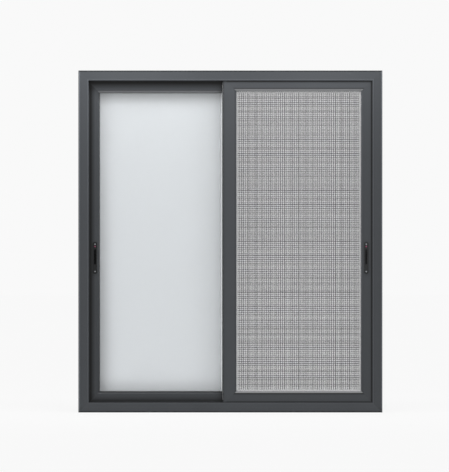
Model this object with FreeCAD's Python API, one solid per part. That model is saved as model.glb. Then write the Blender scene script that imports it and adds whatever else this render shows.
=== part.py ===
import FreeCAD, Part
import math
import os
from collections import namedtuple

from FreeCAD import Vector

# Horizontal sliding window: a mitred three-track frame, two glazed sashes and an insect screen.
# Lengths are in millimetres. X runs along the sill, Y from the room side to the outside, Z up.
# The origin is the middle of the frame's underside.
# Sections are drawn as (depth, rise): depth runs from the front face backwards, and rise runs
# from the outer edge of a frame or sash towards its middle.

# The whole window
frame_width = 1400.0
frame_height = 1575.0

# Frame extrusion
frame_wall = 2.0
frame_base = 20.0
lip_height = 46.0
lip_depth = 5.0
lip_chamfer_rise = 4.5
lip_chamfer_depth = 2.0
frame_rebate_rise = 4.0
frame_rebate_depth = 2.5
front_setback = 8.0
rear_setback = 8.0
track_gap = 6.0

# Ribs that the sashes run on
rib_drop = 2.5
rib_wall = 2.0
rib_bulb_radius = 2.5
cap_wall = 0.7
cap_skirt = 2.0
cap_play = 0.1
cap_end_gap = 2.0

# Pile seals in the frame lips
pile_groove_width = 6.5
pile_groove_inset = 3.0
pile_nib = 1.0
pile_nib_wall = 0.8
pile_play = 0.1
pile_touch_gap = 0.3

# How far the sashes reach behind the frame lips, and past the middle of the window
lap_side = 12.0
left_lap_top = 6.5
right_lap_top = 14.0
glass_lap_bottom = 13.0
screen_lap_top = 13.5
screen_lap_bottom = 11.0
left_sash_reach = 25.2
right_sash_reach = 35.0
screen_reach = 35.0

# Glazed sash extrusion
sash_wall = 1.6
sash_web = 2.0
sash_leg = 7.0
sash_edge_radius = 0.8
bevel_rise = 10.0
bevel_nose = 1.0
glass_edge_room = 13.0
glass_bite = 13.7
assembly_gap = 0.2

# Double glazing
pane_thickness = 5.0
glass_cavity = 6.0
gasket_thickness = 2.0
gasket_bite = 8.0
gasket_proud = 1.5
spacer_inset = 4.0
spacer_rise = 8.0
setting_block_length = 100.0

# Insect screen extrusion
screen_depth = 22.0
screen_leg = 5.0
screen_leg_wall = 1.2
screen_chamber = 24.8
screen_lip_rise = 11.0
screen_lip_depth = 12.0
screen_middle_wall = 1.6
screen_lip_nose = 5.0
mesh_thickness = 0.6
spline_size = 5.0
spline_corner = 1.5
spline_hook_rise = 3.0
spline_hook_wall = 1.6
screen_slot_cover = 1.5
screen_cover_prong = 8.0

# Interlock on the meeting stiles of the glazed sashes
interlock_wall = 1.5
interlock_gap = 0.75
interlock_bite = 5.0
interlock_prong = 8.0

# Wheels, guides
glass_wheel_radius = 8.5
screen_wheel_radius = 5.0
wheel_flange_height = 2.0
screen_flange_height = 1.5
wheel_flange_wall = 1.3
screen_flange_wall = 0.7
groove_play = 0.3
wheel_play = 0.15
wheel_top_play = 0.8
wheel_side_play = 0.3
pin_radius = 2.0
screen_pin_radius = 1.5
pin_play = 0.1
carriage_wall = 1.5
screen_carriage_wall = 1.0
carriage_play = 0.25
carriage_length = 56.0
screen_carriage_length = 40.0
carriage_below_pin = 4.0
screen_carriage_below_pin = 3.0
carriage_inset = 110.0
guide_length = 40.0
guide_cover = 10.0
guide_inset = 100.0
guide_play = 0.3

# Locks
lock_height = 712.0
lock_screw_spacing = 126.0
lock_end_radius = 10.5
lock_body_width = 18.0
lock_plate_thickness = 4.0
lock_slot_width = 9.0
lock_slot_length = 70.0
lock_slot_shift = 4.5
lock_cup_wall = 1.5
lock_cup_depth = 11.0
lock_cup_play = 0.2
lock_pane_gap = 0.3
lock_edge_gap = 2.2
lock_slider_length = 22.0
lock_slider_width = 7.6
lock_slider_rise = 7.0
lock_slider_ribs = 4
lock_button_radius = 2.6
lock_button_rise = 1.2
lock_button_shift = 52.0

# Drainage and fixing
drain_slot_length = 30.0
drain_slot_rise = 5.0
drain_slot_height = 9.0
drain_spacing = 520.0
drain_cover_length = 46.0
drain_cover_rise = 16.0
drain_cover_depth = 4.5
drain_cover_wall = 1.5
drain_cover_chamfer = 2.0
fixing_hole_radius = 4.0
fixing_corner_distance = 150.0
fixing_window = 12.0

# Worked out from the sizes above
sash_depth = 2 * sash_leg + 2 * gasket_thickness + 2 * pane_thickness + glass_cavity
rib_top = lip_height - rib_drop
cap_top = rib_top + cap_play + cap_wall
frame_depth = front_setback + screen_depth + 2 * track_gap + 2 * sash_depth + rear_setback
screen_front = front_setback
left_front = screen_front + screen_depth + track_gap
right_front = left_front + sash_depth + track_gap
rib_depths = (
    screen_front + screen_depth / 2,
    left_front + sash_depth / 2,
    right_front + sash_depth / 2,
)
pile_groove_top = lip_height - pile_groove_inset
pile_groove_foot = pile_groove_top - pile_groove_width
fixing_outer_spacing = frame_height - 2 * fixing_corner_distance
fixing_inner_spacing = fixing_outer_spacing / 3

crown_radius = rib_bulb_radius + cap_play + cap_wall
glass_wheel_half = crown_radius + groove_play + wheel_flange_wall
glass_groove_foot = (
    cap_top - crown_radius
    + (crown_radius + wheel_play) * math.hypot(1, wheel_flange_height / glass_wheel_half)
)
screen_wheel_half = crown_radius + groove_play + screen_flange_wall
screen_groove_foot = (
    cap_top - crown_radius
    + (crown_radius + wheel_play) * math.hypot(1, screen_flange_height / screen_wheel_half)
)

glass_sash_edge = lip_height - glass_lap_bottom
glass_channel = (
    glass_groove_foot - glass_sash_edge
    + 2 * glass_wheel_radius + wheel_flange_height + wheel_top_play + carriage_wall
)
glass_web_top = glass_channel + sash_web
glass_edge = glass_web_top + glass_edge_room
sash_rail = glass_edge + glass_bite
bevel_foot = sash_rail - bevel_rise
glass_lock_rise = glass_edge - lock_slot_width / 2 - lock_cup_wall - lock_pane_gap

screen_sash_edge = lip_height - screen_lap_bottom
screen_channel = (
    screen_groove_foot - screen_sash_edge
    + 2 * screen_wheel_radius + screen_flange_height + wheel_top_play + screen_carriage_wall
)
screen_web_top = screen_channel + sash_web
screen_chamber_top = screen_web_top + screen_chamber
screen_seat = screen_chamber_top + sash_web
screen_rail = screen_seat + screen_lip_rise
screen_bevel_foot = screen_rail - bevel_rise
screen_lock_rise = screen_bevel_foot - lock_end_radius - lock_edge_gap

SIDES = ("bottom", "top", "left", "right")
THROUGH = -1.0

Area = namedtuple("Area", "left right bottom top")
frame_area = Area(-frame_width / 2, frame_width / 2, 0.0, frame_height)

Carriage = namedtuple(
    "Carriage", "tread half_width flange_height groove_foot wall pin below_pin length"
)
glass_carriage = Carriage(
    tread=glass_wheel_radius,
    half_width=glass_wheel_half,
    flange_height=wheel_flange_height,
    groove_foot=glass_groove_foot,
    wall=carriage_wall,
    pin=pin_radius,
    below_pin=carriage_below_pin,
    length=carriage_length,
)
screen_carriage = Carriage(
    tread=screen_wheel_radius,
    half_width=screen_wheel_half,
    flange_height=screen_flange_height,
    groove_foot=screen_groove_foot,
    wall=screen_carriage_wall,
    pin=screen_pin_radius,
    below_pin=screen_carriage_below_pin,
    length=screen_carriage_length,
)


def inset(area, distance):
    """The area with each edge moved inwards."""
    return Area(
        area.left + distance,
        area.right - distance,
        area.bottom + distance,
        area.top - distance,
    )


def outline(corners):
    """Closed wire through corners of (depth, rise) or (depth, rise, radius).

    The radius rounds its corner. THROUGH in its place marks the middle of an arc that joins the
    corners before and after it.
    """
    spots = [Vector(0, corner[0], corner[1]) for corner in corners]
    radii = [corner[2] if len(corner) > 2 else 0.0 for corner in corners]
    count = len(corners)
    arrivals = list(spots)
    departures = list(spots)
    edges = []
    for i in range(count):
        if radii[i] > 0:
            back = (spots[i - 1] - spots[i]).normalize()
            ahead = (spots[(i + 1) % count] - spots[i]).normalize()
            half_angle = back.getAngle(ahead) / 2
            reach = radii[i] / math.tan(half_angle)
            bisector = (back + ahead).normalize()
            middle = spots[i] + bisector * (radii[i] / math.sin(half_angle) - radii[i])
            arrivals[i] = spots[i] + back * reach
            departures[i] = spots[i] + ahead * reach
            edges.append(Part.Arc(arrivals[i], middle, departures[i]).toShape())
    for i in range(count):
        following = (i + 1) % count
        if radii[i] == THROUGH:
            edges.append(Part.Arc(departures[i - 1], spots[i], arrivals[following]).toShape())
        elif radii[following] != THROUGH:
            edges.append(Part.LineSegment(departures[i], arrivals[following]).toShape())
    return Part.Wire(Part.__sortEdges__(edges))


def rectangle(depth_low, depth_high, rise_low, rise_high):
    """Corners of a rectangle in a section."""
    return (
        (depth_low, rise_low),
        (depth_high, rise_low),
        (depth_high, rise_high),
        (depth_low, rise_high),
    )


def section(outer, *chambers):
    """Flat face of an extrusion with its hollow chambers."""
    wires = [outline(outer)] + [outline(chamber) for chamber in chambers]
    return Part.makeFace(wires, "Part::FaceMakerBullseye")


def flipped(corners, depth):
    """Section corners mirrored front to back across a given depth."""
    return tuple((depth - corner[0],) + tuple(corner[1:]) for corner in reversed(corners))


def straight_bar(face, length):
    """Extrusion along X with square ends, centred."""
    bar = face.extrude(Vector(length, 0, 0))
    bar.translate(Vector(-length / 2, 0, 0))
    return bar


def mitred_bar(face, length, play):
    """Extrusion along X whose ends are cut at 45 degrees towards the rise."""
    box = face.BoundBox
    margin = 1.0
    low = box.ZMin - margin
    high = box.ZMax + margin
    bar = straight_bar(face, length - 2 * low)
    half = length / 2 - play
    corners = (
        Vector(-half + low, box.YMin - margin, low),
        Vector(half - low, box.YMin - margin, low),
        Vector(half - high, box.YMin - margin, high),
        Vector(-half + high, box.YMin - margin, high),
    )
    wedge = Part.Face(Part.makePolygon(corners + corners[:1]))
    wedge = wedge.extrude(Vector(0, box.YLength + 2 * margin, 0))
    return bar.common(wedge).Solids[0]


def on_side(shape, side, area, front):
    """Turn a bar from its drawing position to one side of an area."""
    middle_x = (area.left + area.right) / 2
    middle_z = (area.bottom + area.top) / 2
    turns = {"bottom": 0, "left": 90, "top": 180, "right": -90}
    spots = {
        "bottom": Vector(middle_x, front, area.bottom),
        "left": Vector(area.left, front, middle_z),
        "top": Vector(middle_x, front, area.top),
        "right": Vector(area.right, front, middle_z),
    }
    placed = shape.copy()
    placed.rotate(Vector(0, 0, 0), Vector(0, 1, 0), turns[side])
    placed.translate(spots[side])
    return placed


def side_length(side, area):
    """Length of one side of an area."""
    if side in ("bottom", "top"):
        return area.right - area.left
    return area.top - area.bottom


def ring(face, area, front, play=0.0):
    """Four mitred bars round an area, by side."""
    return {
        side: on_side(mitred_bar(face, side_length(side, area), play), side, area, front)
        for side in SIDES
    }


def front_of(depth):
    """Y of a depth behind the front of the frame."""
    return depth - frame_depth / 2


def save(name, shapes):
    """Write one piece, which may be several solids."""
    solids = [solid for shape in shapes for solid in shape.Solids]
    whole = solids[0] if len(solids) == 1 else Part.makeCompound(solids)
    whole.exportStep("parts/" + name + ".step")


def frame_section():
    """Closed base, a lip at the front and back, and three ribs with half-round heads.

    The rebate along the outer edges leaves a shadow line beside the wall.
    """
    far = frame_depth
    equator = rib_top - rib_bulb_radius
    neck = equator - (rib_bulb_radius - rib_wall / 2)
    front_lip = (
        (frame_wall, frame_base),
        (frame_wall, pile_groove_foot - pile_nib_wall),
        (lip_depth, pile_groove_foot - pile_nib_wall),
        (lip_depth, pile_groove_foot + pile_nib),
        (lip_depth - pile_nib_wall, pile_groove_foot + pile_nib),
        (lip_depth - pile_nib_wall, pile_groove_foot),
        (frame_wall, pile_groove_foot),
        (frame_wall, pile_groove_top),
        (lip_depth - pile_nib_wall, pile_groove_top),
        (lip_depth - pile_nib_wall, pile_groove_top - pile_nib),
        (lip_depth, pile_groove_top - pile_nib),
        (lip_depth, lip_height),
        (lip_chamfer_depth, lip_height),
        (0, lip_height - lip_chamfer_rise),
        (0, frame_rebate_rise),
        (frame_rebate_depth, frame_rebate_rise),
        (frame_rebate_depth, 0),
    )
    ribs = []
    for middle in reversed(rib_depths):
        ribs += [
            (middle + rib_wall / 2, frame_base),
            (middle + rib_wall / 2, neck),
            (middle + rib_bulb_radius, equator),
            (middle, rib_top, THROUGH),
            (middle - rib_bulb_radius, equator),
            (middle - rib_wall / 2, neck),
            (middle - rib_wall / 2, frame_base),
        ]
    outer = flipped(front_lip, far) + tuple(ribs) + front_lip
    webs = (
        0.0,
        screen_front + screen_depth + track_gap / 2,
        left_front + sash_depth + track_gap / 2,
        far,
    )
    chambers = []
    for low, high in zip(webs[:-1], webs[1:]):
        low_wall = frame_rebate_depth + frame_wall if low == 0 else frame_wall / 2
        high_wall = frame_rebate_depth + frame_wall if high == far else frame_wall / 2
        chambers.append(
            rectangle(low + low_wall, high - high_wall, frame_wall, frame_base - frame_wall)
        )
    return section(outer, *chambers)


def drain_slots():
    """Cutters for the weep slots through the sill's outer wall and the floor of its rear track."""
    outer_wall = frame_rebate_depth + frame_wall
    floor_depth = (rib_depths[2] + frame_depth - lip_depth) / 2
    cutters = []
    for x in (-drain_spacing, 0.0, drain_spacing):
        start = x - drain_slot_length / 2
        cutters.append(
            Part.makeBox(
                drain_slot_length,
                outer_wall + 2.0,
                drain_slot_rise,
                Vector(start, frame_depth / 2 - outer_wall - 1.0, drain_slot_height),
            )
        )
        cutters.append(
            Part.makeBox(
                drain_slot_length,
                drain_slot_rise,
                frame_wall + 2.0,
                Vector(start, front_of(floor_depth), frame_base - frame_wall - 1.0),
            )
        )
    return cutters


def fixing_cutters(side):
    """Cutters for a jamb's screw holes, and the access windows in front of them."""
    direction = 1 if side == "left" else -1
    edge = frame_area.left if side == "left" else frame_area.right
    floor_middle = edge + direction * (frame_base - frame_wall / 2)
    middle = frame_height / 2
    cutters = []
    for spacing in (fixing_outer_spacing, fixing_inner_spacing):
        for z in (middle - spacing / 2, middle + spacing / 2):
            cutters.append(
                Part.makeCylinder(
                    fixing_hole_radius,
                    2 * frame_wall,
                    Vector(edge - direction * frame_wall / 2, 0, z),
                    Vector(direction, 0, 0),
                )
            )
            window = Part.makeBox(2 * frame_wall, fixing_window, fixing_window)
            window.translate(
                Vector(floor_middle - frame_wall, -fixing_window / 2, z - fixing_window / 2)
            )
            cutters.append(window)
    return cutters


def build_frame():
    """Head, sill and jambs, with the steel rib caps, weep covers and pile seals."""
    members = ring(frame_section(), frame_area, front_of(0))
    save("frame_head", [members["top"]])
    save("frame_sill", [members["bottom"].cut(drain_slots())])
    save("frame_left_jamb", [members["left"].cut(fixing_cutters("left"))])
    save("frame_right_jamb", [members["right"].cut(fixing_cutters("right"))])

    inner = rib_bulb_radius + cap_play
    outer = inner + cap_wall
    middle = rib_top - rib_bulb_radius
    cap = section(
        (
            (-outer, middle - cap_skirt),
            (-inner, middle - cap_skirt),
            (-inner, middle),
            (0, middle + inner, THROUGH),
            (inner, middle),
            (inner, middle - cap_skirt),
            (outer, middle - cap_skirt),
            (outer, middle),
            (0, middle + outer, THROUGH),
            (-outer, middle),
        )
    )
    cap_length = frame_width - 2 * (cap_top + cap_end_gap)
    caps = [
        on_side(straight_bar(cap, cap_length), "bottom", frame_area, front_of(depth))
        for depth in rib_depths
    ]
    save("sill_track_caps", caps)

    shell = Part.makeBox(drain_cover_length, drain_cover_depth, drain_cover_rise)
    top_edges = [
        edge
        for edge in shell.Edges
        if edge.BoundBox.YMin > drain_cover_depth - 0.1 and edge.BoundBox.ZMax > 0.1
    ]
    shell = shell.makeChamfer(min(drain_cover_chamfer, drain_cover_depth / 2), top_edges)
    hollow = Part.makeBox(
        drain_cover_length - 2 * drain_cover_wall,
        drain_cover_depth - drain_cover_wall,
        drain_cover_rise - drain_cover_wall,
        Vector(drain_cover_wall, 0, 0),
    )
    hood = shell.cut(hollow)
    hood_foot = drain_slot_height - drain_cover_rise / 2
    covers = []
    for x in (-drain_spacing, 0.0, drain_spacing):
        cover = hood.copy()
        cover.translate(Vector(x - drain_cover_length / 2, frame_depth / 2, hood_foot))
        covers.append(cover)
    save("drain_covers", covers)


def pile_section(touch_depth):
    """T-shaped strip: its foot slides in the lip's groove and its pile reaches a sash face."""
    foot_low = pile_groove_foot + pile_play
    foot_high = pile_groove_top - pile_play
    foot_front = frame_wall + pile_play
    foot_back = lip_depth - pile_nib_wall - pile_play
    tuft_low = pile_groove_foot + pile_nib + pile_play
    tuft_high = pile_groove_top - pile_nib - pile_play
    return (
        (foot_front, foot_low),
        (foot_back, foot_low),
        (foot_back, tuft_low),
        (touch_depth - pile_touch_gap, tuft_low),
        (touch_depth - pile_touch_gap, tuft_high),
        (foot_back, tuft_high),
        (foot_back, foot_high),
        (foot_front, foot_high),
    )


def build_pile_seals():
    """Pile strips on all four sides, in front of the screen and behind the right sash."""
    front = section(pile_section(front_setback))
    save("front_pile_seals", ring(front, frame_area, front_of(0), pile_play).values())
    rear = section(flipped(pile_section(rear_setback), frame_depth))
    save("rear_pile_seals", ring(rear, frame_area, front_of(0), pile_play).values())


def glass_sash_section():
    """Channel for the rib and wheels, glass pocket, and a bevelled front leg."""
    back = sash_depth
    inner_front = sash_leg
    inner_back = back - sash_leg
    outer = (
        (0, 0),
        (inner_front, 0),
        (inner_front, glass_channel),
        (inner_back, glass_channel),
        (inner_back, 0),
        (back, 0),
        (back, glass_web_top),
        (inner_front, glass_web_top),
        (inner_front, sash_rail),
        (inner_front - bevel_nose, sash_rail),
        (0, bevel_foot, sash_edge_radius),
    )
    front_chamber = rectangle(
        sash_wall, inner_front - sash_wall, sash_wall, bevel_foot - sash_wall
    )
    back_chamber = rectangle(
        inner_back + sash_wall, back - sash_wall, sash_wall, glass_web_top - sash_wall
    )
    return section(outer, front_chamber, back_chamber)


def bead_section():
    """Glazing bead behind the glass, the front leg's bevel repeated."""
    back = sash_depth
    front = sash_depth - sash_leg
    foot = glass_web_top
    outer = (
        (front, foot),
        (back, foot),
        (back, bevel_foot, sash_edge_radius),
        (front + bevel_nose, sash_rail),
        (front, sash_rail),
    )
    chamber = rectangle(
        front + sash_wall, back - sash_wall, foot + sash_wall, bevel_foot - sash_wall
    )
    return section(outer, chamber)


def interlock_section(hook_behind, lip_length):
    """Cover of the stile's open channel, with a long lip that hooks behind its neighbour's."""
    reach = track_gap - interlock_gap
    corners = (
        (0, -interlock_wall),
        (sash_depth + reach, -interlock_wall),
        (sash_depth + reach, lip_length),
        (sash_depth + reach - interlock_wall, lip_length),
        (sash_depth + reach - interlock_wall, 0),
        (sash_depth - sash_leg - assembly_gap, 0),
        (sash_depth - sash_leg - assembly_gap, interlock_prong),
        (sash_depth - sash_leg - assembly_gap - interlock_wall, interlock_prong),
        (sash_depth - sash_leg - assembly_gap - interlock_wall, 0),
        (sash_leg + assembly_gap + interlock_wall, 0),
        (sash_leg + assembly_gap + interlock_wall, interlock_prong),
        (sash_leg + assembly_gap, interlock_prong),
        (sash_leg + assembly_gap, 0),
        (0, 0),
    )
    if hook_behind:
        return section(corners)
    return section(flipped(corners, sash_depth))


def lock_spot(side, area, front, rise):
    """Middle of a lock on a stile: its X, the stile's front face and the lock's height."""
    x = area.left + rise if side == "left" else area.right - rise
    return Vector(x, front, lock_height)


def rounded_slot(width, length, depth):
    """Upright block with round ends, its front face at Y = 0, centred in X and Z."""
    half = width / 2
    straight = length / 2 - half
    edges = [
        Part.LineSegment(Vector(half, 0, -straight), Vector(half, 0, straight)).toShape(),
        Part.Arc(
            Vector(half, 0, straight), Vector(0, 0, length / 2), Vector(-half, 0, straight)
        ).toShape(),
        Part.LineSegment(Vector(-half, 0, straight), Vector(-half, 0, -straight)).toShape(),
        Part.Arc(
            Vector(-half, 0, -straight), Vector(0, 0, -length / 2), Vector(half, 0, -straight)
        ).toShape(),
    ]
    return Part.Face(Part.Wire(edges)).extrude(Vector(0, depth, 0))


def upright_block(margin, depth):
    """Square-ended block round the lock's slot, its front face at Y = 0."""
    width = lock_slot_width + 2 * margin
    length = lock_slot_length + 2 * margin
    return Part.makeBox(width, depth, length, Vector(-width / 2, 0, -length / 2))


def lock_plate():
    """Cover plate with a round end at each screw, and the finger slot cut through."""
    half = lock_body_width / 2
    straight = lock_screw_spacing / 2 - math.sqrt(lock_end_radius ** 2 - half ** 2)
    tip = lock_screw_spacing / 2 + lock_end_radius
    edges = [
        Part.LineSegment(Vector(half, 0, -straight), Vector(half, 0, straight)).toShape(),
        Part.Arc(
            Vector(half, 0, straight), Vector(0, 0, tip), Vector(-half, 0, straight)
        ).toShape(),
        Part.LineSegment(Vector(-half, 0, straight), Vector(-half, 0, -straight)).toShape(),
        Part.Arc(
            Vector(-half, 0, -straight), Vector(0, 0, -tip), Vector(half, 0, -straight)
        ).toShape(),
    ]
    plate = Part.Face(Part.Wire(edges)).extrude(Vector(0, -lock_plate_thickness, 0))
    slot = rounded_slot(lock_slot_width, lock_slot_length, lock_plate_thickness + 2.0)
    slot.translate(Vector(0, -lock_plate_thickness - 1.0, lock_slot_shift))
    return plate.cut(slot)


def lock_cup():
    """Open cup behind the plate's slot, with the ribbed slider that works the latch."""
    cup = upright_block(lock_cup_wall, lock_cup_depth)
    hollow = upright_block(0.0, lock_cup_depth - lock_cup_wall)
    cup = cup.cut(hollow)

    floor = lock_cup_depth - lock_cup_wall
    top = lock_slot_length / 2 - lock_cup_wall
    half = lock_slider_width / 2
    pitch = lock_slider_length / lock_slider_ribs
    groove = pitch / 3
    profile = [(floor, top), (floor, top - lock_slider_length)]
    for step in range(lock_slider_ribs):
        low = top - lock_slider_length + step * pitch
        profile.append((floor - lock_slider_rise, low))
        profile.append((floor - lock_slider_rise, low + pitch - groove))
        profile.append((floor - lock_slider_rise + groove, low + pitch - groove / 2))
    profile[-1] = (floor - lock_slider_rise, top)
    slider = Part.Face(outline(profile)).extrude(Vector(lock_slider_width, 0, 0))
    slider.translate(Vector(-half, 0, 0))
    for piece in (cup, slider):
        piece.translate(Vector(0, 0, lock_slot_shift))
    return [cup, slider]


def lock_button():
    """Round domed indicator above the slot."""
    crown_radius = (lock_button_radius ** 2 + lock_button_rise ** 2) / (2 * lock_button_rise)
    centre = Vector(0, -lock_plate_thickness + crown_radius - lock_button_rise, lock_button_shift)
    ball = Part.makeSphere(crown_radius, centre)
    slab = Part.makeCylinder(
        lock_button_radius + 1.0,
        lock_button_rise + 1.0,
        Vector(0, -lock_plate_thickness, lock_button_shift),
        Vector(0, -1, 0),
    )
    return ball.common(slab)


def build_lock(prefix, spot, buttons):
    """Save a lock's plate and cup, and add its indicator to the others."""
    plate = lock_plate()
    plate.translate(spot)
    save(prefix + "_lock_plate", [plate])
    cup = lock_cup()
    for piece in cup:
        piece.translate(spot)
    save(prefix + "_lock_cup", cup)
    button = lock_button()
    button.translate(spot)
    buttons.append(button)


def lock_cutter(spot):
    """Pocket that the lock's cup fits in."""
    cutter = upright_block(
        lock_cup_wall + lock_cup_play, lock_cup_depth + lock_cup_play + 1.0
    )
    cutter.translate(spot + Vector(0, -1.0, lock_slot_shift))
    return cutter


def roller_carriage(kind, roof):
    """A V-grooved wheel, and the folded steel carriage whose riveted pin it turns on.

    Depth 0 is the middle of the rib, and the rise is measured from the frame's outer edge.
    """
    axle = kind.groove_foot + kind.tread
    bore = kind.pin + pin_play
    half_room = kind.half_width + wheel_side_play
    half_housing = half_room + kind.wall
    rim = (
        (-kind.half_width, bore),
        (-kind.half_width, kind.tread + kind.flange_height),
        (0, kind.tread),
        (kind.half_width, kind.tread + kind.flange_height),
        (kind.half_width, bore),
    )
    wheel = Part.Face(outline(rim)).revolve(Vector(0, 0, 0), Vector(0, 1, 0), 360)
    wheel.translate(Vector(0, 0, axle))

    foot = axle - kind.below_pin
    housing = Part.makeBox(
        kind.length,
        2 * half_housing,
        roof - foot,
        Vector(-kind.length / 2, -half_housing, foot),
    )
    inside = Part.makeBox(
        kind.length + 2.0,
        2 * half_room,
        roof - kind.wall - foot + 1.0,
        Vector(-kind.length / 2 - 1.0, -half_room, foot - 1.0),
    )
    shaft = Part.makeCylinder(
        kind.pin, 2 * half_housing, Vector(0, -half_housing, axle), Vector(0, 1, 0)
    )
    housing = housing.cut(inside).fuse(shaft).removeSplitter()
    return [wheel, housing]


def sash_rollers(area, rib_depth, carriage):
    """Two carriages near the ends of a bottom rail."""
    pieces = []
    for x in (area.left + carriage_inset, area.right - carriage_inset):
        for solid in carriage:
            copy = solid.copy()
            copy.translate(Vector(x, front_of(rib_depth), 0))
            pieces.append(copy)
    return pieces


def top_guides(area, rib_depth, channel_width):
    """Two blocks in a top rail's channel that straddle the head's rib."""
    half = channel_width / 2 - carriage_play
    slot = rib_bulb_radius + guide_play
    rib_tip = frame_height - rib_top - guide_play
    foot = area.top
    root = rib_tip - guide_cover
    block = section(
        (
            (-half, root),
            (half, root),
            (half, foot),
            (slot, foot),
            (slot, rib_tip),
            (-slot, rib_tip),
            (-slot, foot),
            (-half, foot),
        )
    )
    pieces = []
    for x in (area.left + guide_inset, area.right - guide_inset):
        guide = straight_bar(block, guide_length)
        guide.translate(Vector(x, front_of(rib_depth), 0))
        pieces.append(guide)
    return pieces


def build_glass_sash(prefix, area, depth, rib_depth, hook_behind, lock_side, buttons):
    """One glazed sash, with its interlock, beads, glass, seals, rollers and lock."""
    front = front_of(depth)
    meeting_side = "right" if lock_side == "left" else "left"
    members = ring(glass_sash_section(), area, front)
    spot = lock_spot(lock_side, area, front, glass_lock_rise)
    save(prefix + "_bottom_rail", [members["bottom"]])
    save(prefix + "_top_rail", [members["top"]])
    save(prefix + "_lock_stile", [members[lock_side].cut(lock_cutter(spot))])
    save(prefix + "_meeting_stile", [members[meeting_side]])

    lip_length = (left_sash_reach + right_sash_reach + interlock_bite) / 2
    interlock = straight_bar(
        interlock_section(hook_behind, lip_length), frame_height - 2 * lip_height
    )
    middle_shift = (frame_height - area.bottom - area.top) / 2
    interlock = on_side(interlock, meeting_side, area, front)
    interlock.translate(Vector(0, 0, middle_shift))
    save(prefix + "_interlock", [interlock])
    save(prefix + "_glazing_beads", ring(bead_section(), area, front, assembly_gap).values())

    front_pane = sash_leg + gasket_thickness
    rear_pane = front_pane + pane_thickness + glass_cavity
    opening = inset(area, glass_edge)
    panes = []
    for pane_depth in (front_pane, rear_pane):
        panes.append(
            Part.makeBox(
                opening.right - opening.left,
                pane_thickness,
                opening.top - opening.bottom,
                Vector(opening.left, front + pane_depth, opening.bottom),
            )
        )
    save(prefix + "_glass", panes)

    spacer_low = glass_edge + spacer_inset
    spacer = section(
        rectangle(
            front_pane + pane_thickness, rear_pane, spacer_low, spacer_low + spacer_rise
        )
    )
    save(prefix + "_glass_spacer", ring(spacer, area, front, assembly_gap).values())

    gaskets = []
    gasket_low = sash_rail - gasket_bite
    for low in (sash_leg, rear_pane + pane_thickness):
        strip = section(
            rectangle(low, low + gasket_thickness, gasket_low, sash_rail + gasket_proud)
        )
        gaskets += ring(strip, area, front, assembly_gap).values()
    block_rise = glass_edge - glass_web_top
    for x in (
        (3 * area.left + area.right) / 4,
        (area.left + 3 * area.right) / 4,
    ):
        gaskets.append(
            Part.makeBox(
                setting_block_length,
                2 * pane_thickness + glass_cavity,
                block_rise,
                Vector(
                    x - setting_block_length / 2,
                    front + front_pane,
                    area.bottom + glass_web_top,
                ),
            )
        )
    save(prefix + "_glass_gaskets", gaskets)

    carriage = roller_carriage(glass_carriage, area.bottom + glass_channel)
    save(prefix + "_rollers", sash_rollers(area, rib_depth, carriage))
    build_lock(prefix, spot, buttons)


def screen_section():
    """Channel, two closed chambers and a bevelled lip with a hooked seat for the spline."""
    back = screen_depth
    channel_back = back - screen_leg
    hook_front = back - screen_leg + spline_hook_wall
    hook_top = screen_seat + spline_hook_rise
    outer = (
        (0, 0),
        (screen_leg, 0),
        (screen_leg, screen_channel),
        (channel_back, screen_channel),
        (channel_back, 0),
        (back, 0),
        (back, hook_top),
        (hook_front, hook_top),
        (hook_front, screen_seat),
        (screen_lip_depth, screen_seat),
        (screen_lip_depth, screen_rail),
        (screen_lip_depth - screen_lip_nose, screen_rail),
        (0, screen_bevel_foot, sash_edge_radius),
    )
    wall = screen_leg_wall
    front_chamber = rectangle(wall, screen_leg - wall, wall, screen_channel - wall)
    back_chamber = rectangle(
        channel_back + wall, back - wall, wall, screen_channel - wall
    )
    rear_chamber = rectangle(
        screen_lip_depth + screen_middle_wall,
        back - sash_wall,
        screen_web_top,
        screen_chamber_top,
    )
    main_chamber = (
        (sash_wall, screen_web_top),
        (screen_lip_depth, screen_web_top),
        (screen_lip_depth, screen_chamber_top),
        (screen_lip_depth - sash_wall, screen_chamber_top),
        (screen_lip_depth - sash_wall, screen_rail - 2 * sash_wall),
        (screen_lip_depth - screen_lip_nose + sash_wall, screen_rail - 2 * sash_wall),
        (sash_wall, screen_bevel_foot),
    )
    return section(outer, front_chamber, back_chamber, main_chamber, rear_chamber)


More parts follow.
